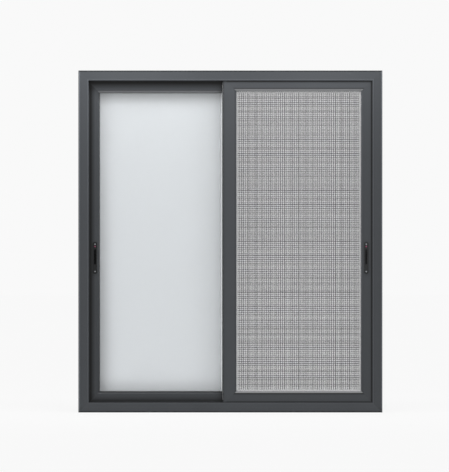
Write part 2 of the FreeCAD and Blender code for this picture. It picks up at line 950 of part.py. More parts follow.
def build_screen(area, buttons):
    """Insect screen sash with its mesh, spline, rollers and lock."""
    front = front_of(screen_front)
    members = ring(screen_section(), area, front)
    spot = lock_spot("right", area, front, screen_lock_rise)
    save("screen_bottom_rail", [members["bottom"]])
    save("screen_top_rail", [members["top"]])
    save("screen_lock_stile", [members["right"].cut(lock_cutter(spot))])
    save("screen_meeting_stile", [members["left"]])

    slot_front = screen_leg + assembly_gap
    slot_back = screen_depth - screen_leg - assembly_gap
    cover = section(
        (
            (slot_front, 0),
            (slot_back, 0),
            (slot_back, screen_cover_prong),
            (slot_back - screen_slot_cover, screen_cover_prong),
            (slot_back - screen_slot_cover, screen_slot_cover),
            (slot_front + screen_slot_cover, screen_slot_cover),
            (slot_front + screen_slot_cover, screen_cover_prong),
            (slot_front, screen_cover_prong),
        )
    )
    cover_length = side_length("left", area) - 2 * screen_channel
    save(
        "screen_edge_cover",
        [on_side(straight_bar(cover, cover_length), "left", area, front)],
    )

    mesh_area = inset(area, screen_seat + assembly_gap)
    mesh_front = screen_lip_depth + assembly_gap
    mesh = Part.makeBox(
        mesh_area.right - mesh_area.left,
        mesh_thickness,
        mesh_area.top - mesh_area.bottom,
        Vector(mesh_area.left, front + mesh_front, mesh_area.bottom),
    )
    save("screen_mesh", [mesh])

    spline_front = mesh_front + mesh_thickness
    spline_back = screen_depth - screen_leg + spline_hook_wall - assembly_gap
    spline_low = screen_seat + assembly_gap
    spline = section(
        (
            (spline_front, spline_low),
            (spline_back, spline_low),
            (spline_back, spline_low + spline_size - spline_corner),
            (spline_back - spline_corner, spline_low + spline_size),
            (spline_front, spline_low + spline_size),
        )
    )
    save("screen_spline", ring(spline, area, front, assembly_gap).values())

    carriage = roller_carriage(screen_carriage, area.bottom + screen_channel)
    save("screen_rollers", sash_rollers(area, rib_depths[0], carriage))
    build_lock("screen", spot, buttons)


def main():
    os.makedirs("parts", exist_ok=True)
    side_edge = lip_height - lap_side
    left_area = Area(
        frame_area.left + side_edge,
        left_sash_reach,
        glass_sash_edge,
        frame_height - lip_height + left_lap_top,
    )
    right_area = Area(
        -right_sash_reach,
        frame_area.right - side_edge,
        glass_sash_edge,
        frame_height - lip_height + right_lap_top,
    )
    screen_area = Area(
        -screen_reach,
        frame_area.right - side_edge,
        screen_sash_edge,
        frame_height - lip_height + screen_lap_top,
    )
    buttons = []
    build_frame()
    build_pile_seals()
    build_glass_sash("left_sash", left_area, left_front, rib_depths[1], True, "left", buttons)
    build_glass_sash(
        "right_sash", right_area, right_front, rib_depths[2], False, "right", buttons
    )
    build_screen(screen_area, buttons)
    save("lock_buttons", buttons)

    glass_channel_room = sash_depth - 2 * sash_leg
    screen_channel_room = screen_depth - 2 * screen_leg
    guides = top_guides(screen_area, rib_depths[0], screen_channel_room)
    guides += top_guides(left_area, rib_depths[1], glass_channel_room)
    guides += top_guides(right_area, rib_depths[2], glass_channel_room)
    save("top_guides", guides)


main()
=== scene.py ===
# %% [markdown]
# # A horizontal sliding window
# The window is a dark powder-coated frame with a frosted glass sash on the left, a second one
# behind, and an insect screen on the right. Its metal parts arrive as finished solids, one named
# object for each piece. This lesson gives them their finishes and adds what is too fine for the
# solids: woven threads, bristles, screws and eased plate edges. Lengths are in metres.

# %% Load the window
import bmesh
import bpy
import math
from mathutils import Matrix, Vector


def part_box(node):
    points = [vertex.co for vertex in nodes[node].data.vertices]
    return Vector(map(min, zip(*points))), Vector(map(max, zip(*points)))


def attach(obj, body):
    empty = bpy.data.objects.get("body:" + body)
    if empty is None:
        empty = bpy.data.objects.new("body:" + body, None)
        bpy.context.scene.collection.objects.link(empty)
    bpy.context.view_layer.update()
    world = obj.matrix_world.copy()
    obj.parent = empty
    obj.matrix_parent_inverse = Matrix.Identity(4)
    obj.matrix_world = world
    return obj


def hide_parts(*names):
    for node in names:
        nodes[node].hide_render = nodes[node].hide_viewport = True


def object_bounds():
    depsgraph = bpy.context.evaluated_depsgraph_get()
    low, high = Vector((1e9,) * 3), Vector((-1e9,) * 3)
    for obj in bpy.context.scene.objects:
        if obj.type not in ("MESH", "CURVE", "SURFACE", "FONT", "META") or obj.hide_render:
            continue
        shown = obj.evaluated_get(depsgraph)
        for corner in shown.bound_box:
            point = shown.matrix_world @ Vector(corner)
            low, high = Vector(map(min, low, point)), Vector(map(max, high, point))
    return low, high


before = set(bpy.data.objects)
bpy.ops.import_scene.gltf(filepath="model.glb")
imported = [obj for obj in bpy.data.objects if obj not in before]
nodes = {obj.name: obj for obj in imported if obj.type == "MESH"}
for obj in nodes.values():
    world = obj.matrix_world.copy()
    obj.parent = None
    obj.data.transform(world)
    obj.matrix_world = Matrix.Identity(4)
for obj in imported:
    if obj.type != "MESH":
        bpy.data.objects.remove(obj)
solid_low, solid_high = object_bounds()
print("loaded", len(nodes), "pieces, size", [round(x, 4) for x in solid_high - solid_low])

# %% [markdown]
# ## Two small helpers for node trees
# Materials and Geometry Nodes are both trees of nodes with sockets. One helper adds a node and
# fills or links its inputs, and another adds a Math node and hands back its result, so that a
# tree below reads like a list of steps.

# %% Helpers for node trees
def add(tree, kind, inputs=None, **settings):
    """Add a node, with its settings, and fill or link its inputs."""
    made = tree.nodes.new(kind)
    for key, value in settings.items():
        setattr(made, key, value)
    for key, value in (inputs or {}).items():
        if isinstance(value, bpy.types.NodeSocket):
            tree.links.new(value, made.inputs[key])
        else:
            made.inputs[key].default_value = value
    return made


def sums(tree, operation, *values):
    """A Math node's result."""
    inputs = dict(enumerate(values))
    return add(tree, "ShaderNodeMath", inputs, operation=operation).outputs[0]


print("helpers ready")

# %% [markdown]
# ## Powder coat
# The frame and sashes are extruded aluminium with a baked anthracite powder coat. Up close the
# powder melts into a fine ripple with tiny lighter grains, so the colour gets a fine speckle and
# the bump a ripple of about a millimetre. Both read Object coordinates, which are metres here,
# so the grain has its real size on every bar.

# %% Surface helpers
def new_surface(name):
    """An empty material and its Principled shader."""
    material = bpy.data.materials.new(name)
    material.use_nodes = True
    tree = material.node_tree
    tree.nodes.clear()
    shader = add(tree, "ShaderNodeBsdfPrincipled")
    output = add(tree, "ShaderNodeOutputMaterial")
    tree.links.new(shader.outputs["BSDF"], output.inputs["Surface"])
    return material, tree, shader


def grain(tree, size, detail=2.0, stretch=(1.0, 1.0, 1.0)):
    """Noise whose blobs are about this size in metres."""
    place = add(tree, "ShaderNodeTexCoord").outputs["Object"]
    place = add(tree, "ShaderNodeMapping", {"Vector": place, "Scale": stretch}).outputs["Vector"]
    inputs = {"Vector": place, "Scale": 1.0 / size, "Detail": detail}
    return add(tree, "ShaderNodeTexNoise", inputs).outputs["Fac"]


def shaded(colour, share):
    """A colour made lighter or darker."""
    return tuple(part * share for part in colour)


def blend_colour(tree, factor, low, high):
    """Colour between two others, by a factor. Each is three numbers or a socket."""
    ramp = add(tree, "ShaderNodeMix", data_type="RGBA")
    colours = [socket for socket in ramp.inputs if socket.type == "RGBA"]
    for socket, colour in zip(colours, (low, high)):
        if isinstance(colour, tuple):
            socket.default_value = (*colour, 1.0)
        else:
            tree.links.new(colour, socket)
    tree.links.new(factor, ramp.inputs[0])
    return [socket for socket in ramp.outputs if socket.type == "RGBA"][0]


def stretched(tree, value, low, high, to_low=0.0, to_high=1.0):
    """A value moved from one range to another, and held inside it."""
    inputs = {"Value": value, "From Min": low, "From Max": high,
              "To Min": to_low, "To Max": to_high}
    return add(tree, "ShaderNodeMapRange", inputs).outputs["Result"]


def scaled_colour(tree, colour, share):
    """A colour times a number worked out in the tree."""
    inputs = {"Vector": colour, "Scale": share}
    return add(tree, "ShaderNodeVectorMath", inputs, operation="SCALE").outputs["Vector"]


def ripple(tree, shader, height, strength, depth):
    """Bump from a height between 0 and 1, this deep in metres."""
    inputs = {"Height": height, "Strength": strength, "Distance": depth}
    bump = add(tree, "ShaderNodeBump", inputs).outputs["Normal"]
    tree.links.new(bump, shader.inputs["Normal"])


print("surface helpers ready")

# %% [markdown]
# A new window isn't one even grey, and this coat also carries painted light and shade. Ambient
# occlusion darkens the colour: a painted shade in the gaps between sash and frame. Slanted faces,
# which the normal tells apart, are painted lighter and a little greyer: a painted highlight. Where
# two sections meet, a fine dark line, partly dirt and partly painted shade, is given as a band
# along one axis. Bars across the window get another tone than upright ones, partly because two
# extrusions never match exactly, which shows the 45 degree mitres,
# and partly as painted light and shade.

# %% Powder coat
ANTHRACITE = (0.0578, 0.0628, 0.0698)
# Slanted faces are painted lighter and turn towards this grey: a painted highlight.
GREY_OF_HIGHLIGHT = (0.0632, 0.0634, 0.0638)
SPECKLE_SIZE = 0.0006
SPECKLE_SHARE = 0.7
DRIFT_SIZE = 0.11
COAT_CONTRAST = 0.14
COAT_GLOSS = (0.40, 0.52)
COAT_SHINE = 0.32
RIPPLE_SIZE = 0.0011
RIPPLE_STRENGTH = 0.35
RIPPLE_DEPTH = 0.00006
SLANTED = (0.30, 0.38)
FACING_ROOM = (-0.3, -0.5)
GREYING_RANGE = (1.5, 4.5)
MOST_GREYING = 0.8
# Ambient occlusion darkens the coat's colour: painted shade in gaps and corners.
SHADE_REACH = 0.04
SHADE_OPENNESS = (0.25, 0.92)
DARKEST_SHADE = 0.35


def slant_highlight(tree, down, up, side):
    """Painted highlight: 1 on flat faces, 1 plus a share on faces slanting down, up or sideways.
    """
    normal = add(tree, "ShaderNodeTexCoord").outputs["Normal"]
    parts = add(tree, "ShaderNodeSeparateXYZ", {"Vector": normal}).outputs
    slants = (
        (sums(tree, "MULTIPLY", parts["Z"], -1.0), down),
        (parts["Z"], up),
        (sums(tree, "ABSOLUTE", parts["X"]), side),
    )
    shine = 0.0
    for slant, share in slants:
        more = sums(tree, "MULTIPLY", stretched(tree, slant, *SLANTED), share)
        shine = sums(tree, "ADD", shine, more)
    shine = sums(tree, "MULTIPLY", shine, stretched(tree, parts["Y"], *FACING_ROOM))
    return sums(tree, "ADD", shine, 1.0)


def axis_bands(tree, bands):
    """1, and another share in each band of (axis, low, high, share at low, share at high)."""
    place = add(tree, "ShaderNodeTexCoord").outputs["Object"]
    parts = add(tree, "ShaderNodeSeparateXYZ", {"Vector": place}).outputs
    shade = 1.0
    for axis, low, high, low_share, high_share in bands:
        inside = sums(tree, "MULTIPLY", sums(tree, "GREATER_THAN", parts[axis], low),
                      sums(tree, "LESS_THAN", parts[axis], high))
        change = stretched(tree, parts[axis], low, high, low_share - 1.0, high_share - 1.0)
        change = sums(tree, "MULTIPLY", change, inside)
        shade = sums(tree, "MULTIPLY", shade, sums(tree, "ADD", change, 1.0))
    return shade


def corner_shade(tree):
    """1 in the open, and less in tight corners: painted shade from ambient occlusion."""
    inputs = {"Distance": SHADE_REACH}
    hollow = add(tree, "ShaderNodeAmbientOcclusion", inputs, samples=8).outputs["AO"]
    return stretched(tree, hollow, *SHADE_OPENNESS, DARKEST_SHADE, 1.0)


def powder_coat(name, tone=1.0, down=0.0, up=0.0, side=0.0, bands=()):
    """Satin powder coat with a fine grain, painted shade in corners and bands, and painted
    highlights.
    """
    material, tree, shader = new_surface(name)
    colour = shaded(ANTHRACITE, tone)
    speckle = grain(tree, SPECKLE_SIZE, 3.0)
    drift = grain(tree, DRIFT_SIZE, 1.0)
    mixed = sums(tree, "ADD", sums(tree, "MULTIPLY", speckle, SPECKLE_SHARE),
                 sums(tree, "MULTIPLY", drift, 1.0 - SPECKLE_SHARE))
    tint = blend_colour(tree, mixed, shaded(colour, 1.0 - COAT_CONTRAST),
                        shaded(colour, 1.0 + COAT_CONTRAST))
    # Painted highlight: slanted faces are made lighter and a little greyer.
    shine = slant_highlight(tree, down, up, side)
    greying = stretched(tree, shine, *GREYING_RANGE, 0.0, MOST_GREYING)
    tint = blend_colour(tree, greying, tint, shaded(GREY_OF_HIGHLIGHT, tone))
    share = sums(tree, "MULTIPLY", shine, corner_shade(tree))
    if bands:
        # Bands of painted shade, painted highlight and joint dirt along one axis.
        share = sums(tree, "MULTIPLY", share, axis_bands(tree, bands))
    tree.links.new(scaled_colour(tree, tint, share), shader.inputs["Base Color"])
    gloss = stretched(tree, speckle, 0.0, 1.0, *COAT_GLOSS)
    tree.links.new(gloss, shader.inputs["Roughness"])
    shader.inputs["Specular IOR Level"].default_value = COAT_SHINE
    ripple(tree, shader, grain(tree, RIPPLE_SIZE, 2.0), RIPPLE_STRENGTH, RIPPLE_DEPTH)
    return material


print("powder coat ready")

# %% [markdown]
# Each group of bars gets its own coat. Bands above 1 are painted highlights: the frame's outer
# arris at the sides, the lip's edge and some bevel noses. Bands below 1 are painted shade and
# shadow: against the lip, deep on the glazed sash, which stands far behind it, as a thin line on
# the screen, and along the outer edges of head and sill; the dark joint lines are partly dirt.
# Each band is given by its distance from the edge it sits at, and by the share of the colour that
# is left at its two ends.

# %% Coats of the bars
rail_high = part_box("screen_bottom_rail")[1]
top_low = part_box("screen_top_rail")[0]
stile_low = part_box("screen_meeting_stile")[0]
lock_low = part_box("screen_lock_stile")[0]
lip_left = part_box("frame_left_jamb")[1].x
lip_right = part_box("frame_right_jamb")[0].x
lip_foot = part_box("frame_sill")[1].z
lip_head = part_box("frame_head")[0].z
sash_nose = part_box("left_sash_lock_stile")[1].x
BEVEL = 0.010
FAR = 9.0
# Each bar's tone is partly its own and partly painted light and shade, darker on the glazed sash
# behind the lip.
COATS = {
    # Bands below 1 are painted shade and shadow, some of them joint lines that are partly dirt;
    # bands above 1 are painted highlights.
    "frame_head": powder_coat("coat_head", 0.98, down=0.48, bands=(
        ("Z", solid_high.z - 0.0065, FAR, 0.49, 0.49),
        ("Z", lip_head, lip_head + 0.0026, 1.2, 1.3),
        ("Z", lip_head + 0.0026, lip_head + 0.0072, 1.45, 1.34))),
    "frame_sill": powder_coat("coat_sill", 1.11, bands=(
        ("Z", -FAR, 0.0045, 0.5, 0.5),
        ("Z", 0.0045, 0.0117, 1.08, 1.15),
        ("Z", 0.0117, 0.0270, 1.18, 1.02),
        ("Z", lip_foot - 0.0024, lip_foot, 0.8, 0.6))),
    "frame_left_jamb": powder_coat("coat_left_jamb", 1.035, side=0.16, bands=(
        ("X", solid_low.x + 0.0025, solid_low.x + 0.0075, 2.6, 2.6),
        ("X", solid_low.x + 0.0075, solid_low.x + 0.0120, 0.82, 0.82),
        ("X", lip_left - 0.0020, lip_left, 1.8, 1.8))),
    "frame_right_jamb": powder_coat("coat_right_jamb", 0.94, side=0.26, bands=(
        ("X", solid_high.x - 0.0110, solid_high.x - 0.0066, 0.66, 0.66),
        ("X", solid_high.x - 0.0066, solid_high.x - 0.0018, 2.9, 2.9),
        ("X", lip_right, lip_right + 0.003, 0.55, 0.75),
        ("X", lip_right + 0.003, lip_right + 0.0073, 1.2, 1.15),
        ("X", lip_right + 0.0073, lip_right + 0.0119, 0.92, 0.92))),
    "screen_top_rail": powder_coat("coat_screen_top", 1.0, down=3.9, bands=(
        ("Z", lip_head - 0.0066, lip_head, 0.5, 0.35),
        ("Z", top_low.z, top_low.z + 0.0010, 2.4, 2.4),
        ("Z", top_low.z + 0.0010, top_low.z + 0.0052, 0.80, 0.84),
        ("Z", top_low.z + BEVEL, top_low.z + BEVEL + 0.0045, 0.50, 0.62),
        ("Z", top_low.z + BEVEL + 0.0045, top_low.z + BEVEL + 0.0092, 0.86, 0.92))),
    "screen_bottom_rail": powder_coat("coat_screen_bottom", 0.98, up=3.4, bands=(
        ("Z", rail_high.z - BEVEL - 0.0075, rail_high.z - BEVEL, 0.95, 0.30),
        ("Z", rail_high.z - BEVEL, rail_high.z - BEVEL + 0.0022, 0.02, 0.02),
        ("Z", rail_high.z - BEVEL + 0.0022, rail_high.z, 0.85, 1.3),
        ("Z", lip_foot, lip_foot + 0.0065, 0.5, 0.62))),
    "screen_meeting_stile": powder_coat("coat_screen_meeting", 1.05, bands=(
        ("X", stile_low.x, stile_low.x + 0.0056, 0.58, 0.64),
        ("X", stile_low.x + 0.0056, stile_low.x + 0.0102, 0.83, 1.0))),
    "screen_lock_stile": powder_coat("coat_screen_lock", 0.91, bands=(
        ("X", lock_low.x, lock_low.x + 0.0029, 1.6, 1.6),
        ("X", lock_low.x + 0.0075, lock_low.x + 0.0121, 0.92, 0.92),
        ("X", lip_right - 0.0060, lip_right, 0.10, 0.30),
        ("X", lip_right - 0.0100, lip_right - 0.0060, 0.9, 0.6))),
    "left_sash_top_rail": powder_coat("coat_sash_top", 0.85, down=2.7, bands=(
        ("Z", lip_head - 0.0068, lip_head + 0.0010, 0.28, 0.60),
        ("Z", lip_head - 0.0100, lip_head - 0.0068, 0.06, 0.06),
        ("Z", lip_head - 0.0180, lip_head - 0.0100, 0.50, 0.06),
        ("Z", lip_head - 0.0390, lip_head - 0.0180, 1.72, 0.60),
        ("Z", lip_head - 0.0437, lip_head - 0.0390, 1.50, 1.60),
        ("Z", lip_head - 0.0483, lip_head - 0.0437, 0.70, 0.70))),
    "left_sash_bottom_rail": powder_coat("coat_sash_bottom", 0.94, up=0.1, bands=(
        ("Z", lip_foot, lip_foot + 0.0070, 0.65, 0.58),
        ("Z", lip_foot + 0.0070, lip_foot + 0.0120, 0.36, 0.36),
        ("Z", lip_foot + 0.0120, lip_foot + 0.0280, 0.60, 0.98),
        ("Z", lip_foot + 0.0395, lip_foot + 0.0440, 0.86, 0.80),
        ("Z", lip_foot + 0.0440, lip_foot + 0.0490, 0.36, 0.42))),
    "left_sash_lock_stile": powder_coat("coat_sash_stile", 0.91, bands=(
        ("X", lip_left - 0.0020, lip_left + 0.0055, 1.0, 0.42),
        ("X", lip_left + 0.0055, lip_left + 0.0125, 0.18, 0.0),
        ("X", lip_left + 0.0125, lip_left + 0.0300, 0.27, 0.95),
        ("X", sash_nose - 0.012, sash_nose, 0.90, 0.88))),
}
coat_inside = powder_coat("coat_inside", 1.0)
print("powder coat on", len(COATS), "bars")

# %% [markdown]
# ## Frosted glass
# The panes are acid-etched: light comes through, but shapes behind them melt away. A rough
# transmission does this, with a small share that stays in the etched face and comes back as a
# soft white. Towards the rebates the tint falls off from each edge, at its own rate: a painted
# shade for the light that reaches the pane less there. Along one edge the etching stops a little
# short and leaves a clear margin, which shows as a bright line.
# A sash has two panes, one behind the other, so each takes the square root of the share.

# %% Frosted glass
GLASS_REBATE = 0.0137
FOOT_ZONE = 0.38
HEAD_ZONE = 0.15
ETCH_SIZE = 0.004
ETCH_CONTRAST = 0.01
ETCH_RELIEF = (0.0008, 0.15, 0.00004)
CLEAR_SHARE = 0.92
GLASS_IOR = 1.5


def edge_shade(tree, distance, loss, reach):
    """Painted shade: 1 far from an edge, less by this loss at the edge, falling off as a bell
    curve.
    """
    ratio = sums(tree, "DIVIDE", distance, reach)
    square = sums(tree, "MULTIPLY", ratio, ratio)
    fall = sums(tree, "EXPONENT", sums(tree, "MULTIPLY", square, -1.0))
    return sums(tree, "SUBTRACT", 1.0, sums(tree, "MULTIPLY", fall, loss))


def frosted_glass(name, node_name, losses, tint, etch_gloss, margin=None):
    """Etched float glass with painted shade towards its edges, by (loss at foot, loss at head,
    reach).
    """
    material, tree, shader = new_surface(name)
    low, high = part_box(node_name)
    place = add(tree, "ShaderNodeTexCoord").outputs["Object"]
    parts = add(tree, "ShaderNodeSeparateXYZ", {"Vector": place}).outputs
    distances = {
        "left": sums(tree, "SUBTRACT", parts["X"], low.x + GLASS_REBATE),
        "right": sums(tree, "SUBTRACT", high.x - GLASS_REBATE, parts["X"]),
        "bottom": sums(tree, "SUBTRACT", parts["Z"], low.z + GLASS_REBATE),
        "top": sums(tree, "SUBTRACT", high.z - GLASS_REBATE, parts["Z"]),
    }
    share = 1.0
    # Painted shade, falling off from each edge of the pane.
    for side, (foot_loss, head_loss, reach) in losses.items():
        outside = sums(tree, "MAXIMUM", distances[side], 0.0)
        loss = stretched(tree, parts["Z"], low.z + FOOT_ZONE, high.z - HEAD_ZONE,
                         foot_loss, head_loss)
        share = sums(tree, "MULTIPLY", share, edge_shade(tree, outside, loss, reach))
    share = sums(tree, "SQRT", share)
    etch = grain(tree, ETCH_SIZE, 3.0)
    body = blend_colour(tree, etch, shaded(tint, 1.0 - ETCH_CONTRAST),
                        shaded(tint, 1.0 + ETCH_CONTRAST))
    tree.links.new(scaled_colour(tree, body, share), shader.inputs["Base Color"])
    gloss = stretched(tree, etch, 0.0, 1.0, *etch_gloss)
    if margin:
        gloss = sums(tree, "MULTIPLY", gloss, axis_bands(tree, (margin,)))
    tree.links.new(gloss, shader.inputs["Roughness"])
    shader.inputs["Transmission Weight"].default_value = CLEAR_SHARE
    shader.inputs["IOR"].default_value = GLASS_IOR
    relief_size, strength, depth = ETCH_RELIEF
    ripple(tree, shader, grain(tree, relief_size, 2.0), strength, depth)
    return material


left_glass = frosted_glass(
    "frosted_glass_left", "left_sash_glass",
    {"left": (0.46, 0.245, 0.043), "right": (0.155, 0.13, 0.105),
     "bottom": (0.30, 0.30, 0.046), "top": (0.51, 0.51, 0.0455)},
    (0.946, 0.965, 0.979), (0.46, 0.54),
    margin=("X", stile_low.x - 0.0086, stile_low.x - 0.0034, 0.15, 0.15))
right_glass = frosted_glass("frosted_glass_right", "right_sash_glass", {"top": (0.16, 0.16, 1.0)},
                            (0.987, 0.990, 0.994), (0.12, 0.18))
print("glass:", left_glass.name, right_glass.name)

# %% [markdown]
# ## Metals, plastics and rubber
# The smaller parts need plain industrial finishes. Each one has a grain of its own: cast zinc is
# lightly pitted, rolled strip is brushed along its length, moulded nylon has an eroded texture,
# and rubber is dull with a fine bloom. One function makes them all from a few numbers, because
# they differ only in tone, grain and gloss.

# %% Small finishes
RELIEF_STRENGTH = 0.3
RELIEF_DEPTH = 0.00005


def finish(name, colour, size, gloss, metal=0.0, shine=0.5, contrast=0.1,
           stretch=(1.0, 1.0, 1.0), paleness=None):
    """A finish with a grain of this size, its roughness between two values."""
    material, tree, shader = new_surface(name)
    height = grain(tree, size, 3.0, stretch)
    tint = blend_colour(tree, height, shaded(colour, 1 - contrast), shaded(colour, 1 + contrast))
    if paleness:
        tint = scaled_colour(tree, tint, paleness(tree))
    tree.links.new(tint, shader.inputs["Base Color"])
    tree.links.new(stretched(tree, height, 0.0, 1.0, *gloss), shader.inputs["Roughness"])
    shader.inputs["Metallic"].default_value = metal
    shader.inputs["Specular IOR Level"].default_value = shine
    ripple(tree, shader, height, RELIEF_STRENGTH, RELIEF_DEPTH)
    return material


# The sashes' locks take darker copies of the screen lock's coat and nylon: a painted shade, as
# they stand back in the frame's shade.
lock_coat = finish("lock_coat", (0.0165, 0.0175, 0.019), 0.0007, (0.34, 0.46),
                   shine=0.2, contrast=0.15)
screen_lock_coat = finish("screen_lock_coat", (0.0275, 0.0285, 0.030), 0.0007, (0.34, 0.46),
                          shine=0.2, contrast=0.15)
lock_nylon = finish("lock_nylon", (0.006, 0.006, 0.0066), 0.0009, (0.55, 0.70),
                    shine=0.15, contrast=0.2)
screen_lock_nylon = finish("screen_lock_nylon", (0.033, 0.033, 0.034), 0.0009, (0.55, 0.70),
                           shine=0.15, contrast=0.2)
indicator_red = finish("indicator_red", (0.38, 0.055, 0.145), 0.002, (0.18, 0.26), contrast=0.06)
spacer_metal = finish("spacer_metal", (0.62, 0.63, 0.64), 0.001, (0.30, 0.42), metal=1.0)
seal_rubber = finish("seal_rubber", (0.038, 0.039, 0.041), 0.0012, (0.62, 0.80), contrast=0.25)
strip_steel = finish("strip_steel", (0.56, 0.57, 0.58), 0.0008, (0.24, 0.40), metal=1.0,
                     stretch=(0.02, 1.0, 1.0))
wheel_zinc = finish("wheel_zinc", (0.46, 0.47, 0.49), 0.0012, (0.28, 0.44), metal=1.0,
                    contrast=0.15)
guide_nylon = finish("guide_nylon", (0.032, 0.033, 0.035), 0.001, (0.45, 0.60), contrast=0.15)
weep_plastic = finish("weep_plastic", (0.060, 0.065, 0.072), 0.0009, (0.45, 0.60), contrast=0.12)
screw_zinc = finish("screw_zinc", (0.34, 0.35, 0.37), 0.0008, (0.30, 0.42), metal=1.0)
pile_fibre = finish("pile_fibre", (0.055, 0.058, 0.064), 0.0016, (0.85, 0.95), contrast=0.35)
print("small finishes ready")

# %% [markdown]
# The threads of the insect mesh are dark glass fibre in a vinyl coat. Next to the bars the cloth
# is painted lighter in a border four to seven threads wide: painted light against the shade the
# bars cast there. Some threads are pale all along: each thread carries its paleness as an
# attribute, which this finish reads.

# %% Thread of the insect mesh
mesh_nose_x = (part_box("screen_meeting_stile")[1].x, lock_low.x)
mesh_nose_z = (rail_high.z, top_low.z)
THREAD_COLOUR = (0.120, 0.120, 0.122)
PALE_THREAD = 6.2
# Painted light on the threads next to the bars, against the shade of the bars.
PAINTED_BORDER_LIGHT = (
    ("X", mesh_nose_x[0], mesh_nose_x[0] + 0.0075, 4.2, 3.2),
    ("X", mesh_nose_x[1] - 0.0108, mesh_nose_x[1], 2.6, 4.6),
    ("Z", mesh_nose_z[0], mesh_nose_z[0] + 0.0066, 6.8, 6.8),
    ("Z", mesh_nose_z[1] - 0.0066, mesh_nose_z[1], 4.4, 7.4),
)


def thread_paleness_and_light(tree):
    """1 for a dark thread, and more where the thread is pale and in the border's painted light."""
    pale = add(tree, "ShaderNodeAttribute", attribute_name="pale").outputs["Fac"]
    share = stretched(tree, pale, 0.0, 1.0, 1.0, PALE_THREAD)
    for band in PAINTED_BORDER_LIGHT:
        share = sums(tree, "MAXIMUM", share, axis_bands(tree, (band,)))
    return share


mesh_thread = finish("mesh_thread", THREAD_COLOUR, 0.0015, (0.50, 0.65), shine=0.3,
                     contrast=0.2, paleness=thread_paleness_and_light)
print("mesh opening", [round(x, 4) for x in mesh_nose_x + mesh_nose_z])

# %% [markdown]
# ## Dress the solids
# Every solid keeps its shape and gets a finish by its name. A bar with no coat of its own takes
# the plain one.

# %% Dress the solids
FINISHES = (
    ("screen_lock_plate", screen_lock_coat),
    ("screen_lock_cup", screen_lock_nylon),
    ("_lock_plate", lock_coat),
    ("_lock_cup", lock_nylon),
    ("lock_buttons", indicator_red),
    ("left_sash_glass", left_glass),
    ("right_sash_glass", right_glass),
    ("_glass_spacer", spacer_metal),
    ("_glass_gaskets", seal_rubber),
    ("screen_spline", seal_rubber),
    ("screen_mesh", mesh_thread),
    ("_pile_seals", pile_fibre),
    ("sill_track_caps", strip_steel),
    ("_rollers", wheel_zinc),
    ("top_guides", guide_nylon),
    ("drain_covers", weep_plastic),
)


def finish_of(name):
    """The finish of a piece, by its name or the end of it."""
    for ending, material in FINISHES:
        if name.endswith(ending):
            return material
    return COATS.get(name, coat_inside)


for name, piece in nodes.items():
    for place in piece.material_slots:
        place.material = finish_of(name)
print("dressed", len(nodes), "solids")

# %% [markdown]
# ## Growing a piece with Geometry Nodes
# What repeats is grown by a Geometry Nodes tree: a tree has named inputs for its sizes, and ends
# in Realize Instances and Set Material. The helper below puts the tree on an object, fills the
# inputs by their identifiers, and keeps the result as a plain mesh that rides on the window.

# %% Grow a piece
SOCKETS = {float: "NodeSocketFloat", int: "NodeSocketInt", Vector: "NodeSocketVector"}


def start_tree(name, sizes):
    """A Geometry Nodes tree with a geometry input and one input for each named size."""
    tree = bpy.data.node_groups.new(name, "GeometryNodeTree")
    tree.interface.new_socket("Geometry", in_out="INPUT", socket_type="NodeSocketGeometry")
    for label, value in sizes.items():
        tree.interface.new_socket(label, in_out="INPUT", socket_type=SOCKETS[type(value)])
    tree.interface.new_socket("Geometry", in_out="OUTPUT", socket_type="NodeSocketGeometry")
    source = add(tree, "NodeGroupInput")
    return tree, source.outputs


def end_tree(tree, geometry, material):
    """Make the instances real, give them their finish and hand them out."""
    real = add(tree, "GeometryNodeRealizeInstances", {"Geometry": geometry})
    inputs = {"Geometry": real.outputs["Geometry"], "Material": material}
    dressed = add(tree, "GeometryNodeSetMaterial", inputs)
    add(tree, "NodeGroupOutput", {"Geometry": dressed.outputs["Geometry"]})


def grown_mesh(name, tree, sizes, base=None):
    """Run a tree on a base mesh and hand back the result as a plain mesh."""
    base = base or bpy.data.meshes.new(name + "_base")
    seedling = bpy.data.objects.new(name + "_seedling", base)
    bpy.context.scene.collection.objects.link(seedling)
    growth = seedling.modifiers.new("growth", "NODES")
    growth.node_group = tree
    named = {item.name: item.identifier for item in tree.interface.items_tree
             if item.in_out == "INPUT"}
    for label, value in sizes.items():
        growth[named[label]] = value
    depsgraph = bpy.context.evaluated_depsgraph_get()
    mesh = bpy.data.meshes.new_from_object(seedling.evaluated_get(depsgraph))
    bpy.data.objects.remove(seedling)
    mesh.name = name
    return mesh


def triangles(mesh):
    """How many triangles a mesh has."""
    return sum(len(face.vertices) - 2 for face in mesh.polygons)


def show(name, mesh, slot, *replaced):
    """Put a finished mesh in the window as a piece."""
    piece = bpy.data.objects.new(name, mesh)
    bpy.context.scene.collection.objects.link(piece)
    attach(piece, "root")
    if replaced:
        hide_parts(*replaced)
    low, high = [Vector(map(pick, zip(*(v.co for v in mesh.vertices)))) for pick in (min, max)]
    print(name, triangles(mesh), "triangles, from", [round(x, 4) for x in low], "to",
          [round(x, 4) for x in high])


print("growing is ready")

# %% [markdown]
# ## The insect mesh
# The solid of the mesh is one thin sheet, and the real one is a cloth of fine threads bonded
# where they cross. Its threads are not even: thicker and thinner ones come in turn, with several
# rhythms laid over each other, and this makes the plaid that shows from afar. The thinnest ones
# are pale, where little pigment went into the vinyl, and carry that as an attribute. Geometry
# Nodes suit this well: a line of points, a thin prism on each point, and a thickness worked out
# from where the point is. The same steps run once for the upright threads and once for those
# across, which stand behind and need stronger rhythms to show as much.

